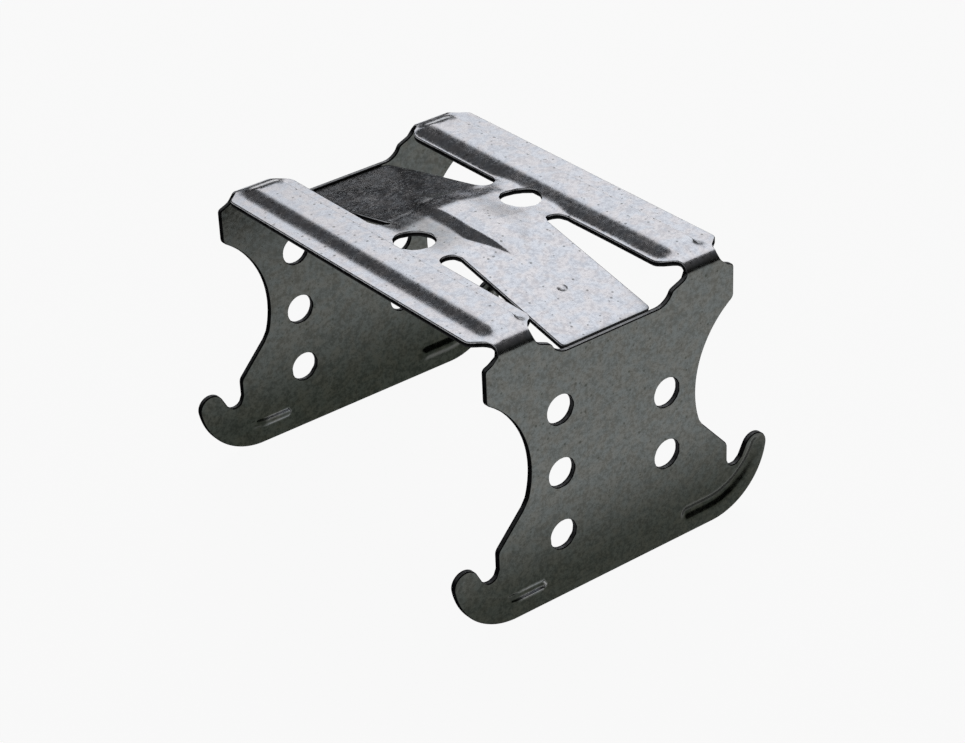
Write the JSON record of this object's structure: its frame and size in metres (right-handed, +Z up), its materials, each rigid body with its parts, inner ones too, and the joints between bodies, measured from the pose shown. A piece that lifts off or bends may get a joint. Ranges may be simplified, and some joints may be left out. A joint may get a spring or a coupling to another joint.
{
  "type": "drywall ceiling cross connector clip",
  "caption": "Folded sheet-steel clip that hangs one ceiling channel across another: ribbed saddle, two spring tongues and two drilled legs with upturned hooks.",
  "frame": {"origin": "middle of the clip in plan, at the level of the feet's lower edges", "axes": "+X along the width of the legs, the way the upper channel runs; +Y from the front leg to the rear leg; +Z up, from the feet to the saddle"},
  "size_m": [0.0572, 0.0622, 0.0444],
  "materials": {
    "galvanised_steel": "matt galvanised"
  },
  "bodies": {
    "root": {"clip": "galvanised_steel"}
  },
  "joints": []
}
